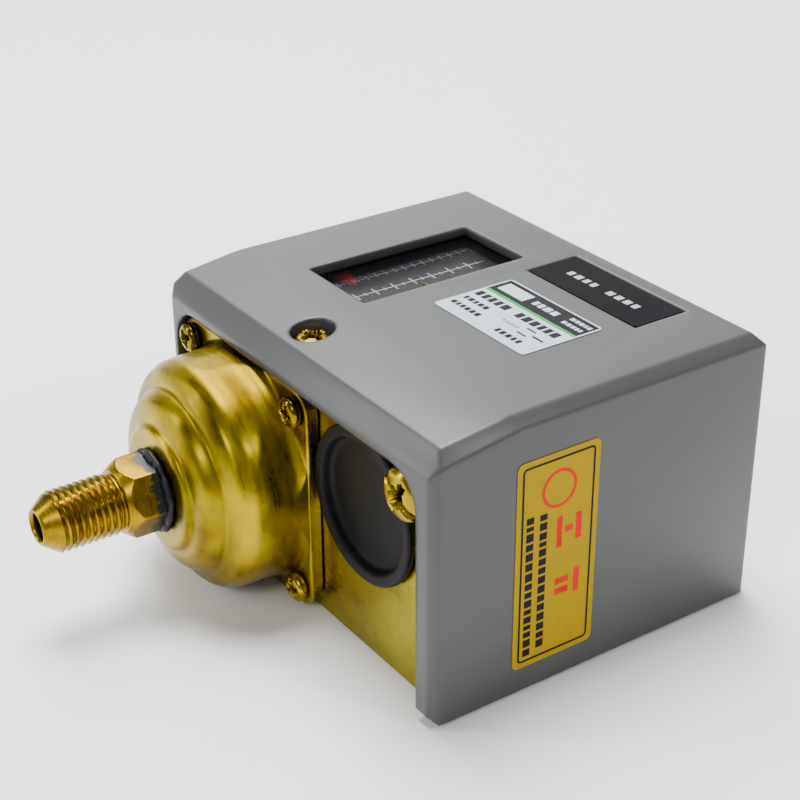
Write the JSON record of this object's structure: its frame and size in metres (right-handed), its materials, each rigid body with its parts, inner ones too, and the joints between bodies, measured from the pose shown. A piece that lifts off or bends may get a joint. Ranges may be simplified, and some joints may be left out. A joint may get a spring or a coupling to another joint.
{
  "type": "pressure switch",
  "caption": "Adjustable bellows pressure switch with a flare connector, a removable cover, a scale window and a lever-worked changeover contact.",
  "frame": {"origin": "centre of the chassis's flat mounting face", "axes": "+Z out of the front of the cover, -Y towards the connector, +X towards the cable entry and earth side"},
  "size_m": [0.0841, 0.1098, 0.0523],
  "materials": {
    "grey_plastic": "semi-gloss moulded grey",
    "smoked_window": "smoked clear plastic",
    "black_plastic": "matt black",
    "white_label": "printed film",
    "yellow_label": "printed film",
    "passivated_steel": "yellow zinc passivated",
    "bronze": "thin formed bronze",
    "brass": "machined brass",
    "black_sealant": "brushed on",
    "black_rubber": "moulded",
    "bright_steel": "turned, zinc plated",
    "spring_steel": "oiled wire",
    "bakelite": "moulded",
    "red_enamel": "enamelled"
  },
  "bodies": {
    "cover": {"cover": "grey_plastic", "window_pane": "smoked_window", "reset_blanking_plate": "black_plastic", "rating_label": "white_label", "side_label": "yellow_label"},
    "chassis": {"chassis": "passivated_steel", "cover_screw_tab": "passivated_steel", "bellows_cup": "passivated_steel", "bellows_backing_plate": "passivated_steel", "bellows": "bronze", "flare_connector": "brass", "sealant_ring": "black_sealant", "flange_screw_1": "passivated_steel", "flange_screw_2": "passivated_steel", "flange_screw_3": "passivated_steel", "flange_screw_4": "passivated_steel", "cable_grommet": "black_rubber", "earth_spacer": "passivated_steel", "earth_screw": "brass", "scale_plate": "black_plastic", "lever_bracket": "passivated_steel", "lever_pin": "bright_steel", "switch_base": "bakelite", "common_terminal": "brass", "common_terminal_screw": "bright_steel", "upper_contact": "brass", "upper_terminal_screw": "bright_steel", "lower_contact": "brass", "lower_terminal_screw": "bright_steel", "range_spring": "spring_steel", "differential_spring": "spring_steel"},
    "cover_screw": {"cover_screw": "passivated_steel"},
    "range_spindle": {"range_spindle": "bright_steel"},
    "range_nut": {"range_nut": "bright_steel", "range_pointer": "red_enamel"},
    "differential_spindle": {"differential_spindle": "bright_steel"},
    "differential_nut": {"differential_nut": "bright_steel", "differential_pointer": "brass"},
    "push_rod": {"push_rod": "bright_steel"},
    "main_lever": {"main_lever": "passivated_steel"},
    "contact_leaf": {"contact_leaf": "brass", "leaf_button": "black_plastic"}
  },
  "joints": [
    {"name": "cover_lift", "type": "slide", "parent": "chassis", "child": "cover", "axis": [0, 0, 1], "range_m": [0, 0.06]},
    {"name": "cover_screw_turn", "type": "hinge", "parent": "cover", "child": "cover_screw", "pos_m": [-0.0044, -0.02715, 0.0484], "axis": [0, 0, 1], "range_deg": [0, 1800]},
    {"name": "range_spindle_turn", "type": "hinge", "parent": "chassis", "child": "range_spindle", "pos_m": [-0.0176, 0.03075, 0.0222], "axis": [0, 1, 0], "range_deg": [-1152, 6336]},
    {"name": "range_nut_slide", "type": "slide", "parent": "chassis", "child": "range_nut", "axis": [0, 1, 0], "range_m": [-0.0042, 0.0222], "deforming": ["range_spring"]},
    {"name": "differential_spindle_turn", "type": "hinge", "parent": "chassis", "child": "differential_spindle", "pos_m": [-0.002, 0.03075, 0.0222], "axis": [0, 1, 0], "range_deg": [-2880, 5760]},
    {"name": "differential_nut_slide", "type": "slide", "parent": "chassis", "child": "differential_nut", "axis": [0, 1, 0], "range_m": [-0.0082, 0.0162], "deforming": ["differential_spring"]},
    {"name": "main_lever_pivot", "type": "hinge", "parent": "chassis", "child": "main_lever", "pos_m": [0, -0.02325, 0.0065], "axis": [-1, 0, 0], "range_deg": [0, 4.38], "stiffness_Nm_per_rad": 0.2, "springref_deg": -1.15},
    {"name": "push_rod_slide", "type": "slide", "parent": "chassis", "child": "push_rod", "axis": [0, 1, 0], "range_m": [0, 0.00125], "deforming": ["bellows"]},
    {"name": "contact_leaf_flex", "type": "hinge", "parent": "chassis", "child": "contact_leaf", "pos_m": [0.0115, 0.01775, 0.02], "axis": [1, 0, 0], "range_deg": [0, 6.9]}
  ],
  "couplings": [
    {"joint": "range_nut_slide", "follows": "range_spindle_turn", "m_per_rad": 0.00019894},
    {"joint": "differential_nut_slide", "follows": "differential_spindle_turn", "m_per_rad": 0.00015915},
    {"joint": "push_rod_slide", "follows": "main_lever_pivot", "m_per_rad": 0.015685},
    {"joint": "contact_leaf_flex", "follows": "main_lever_pivot", "ratio": 1.5625}
  ]
}
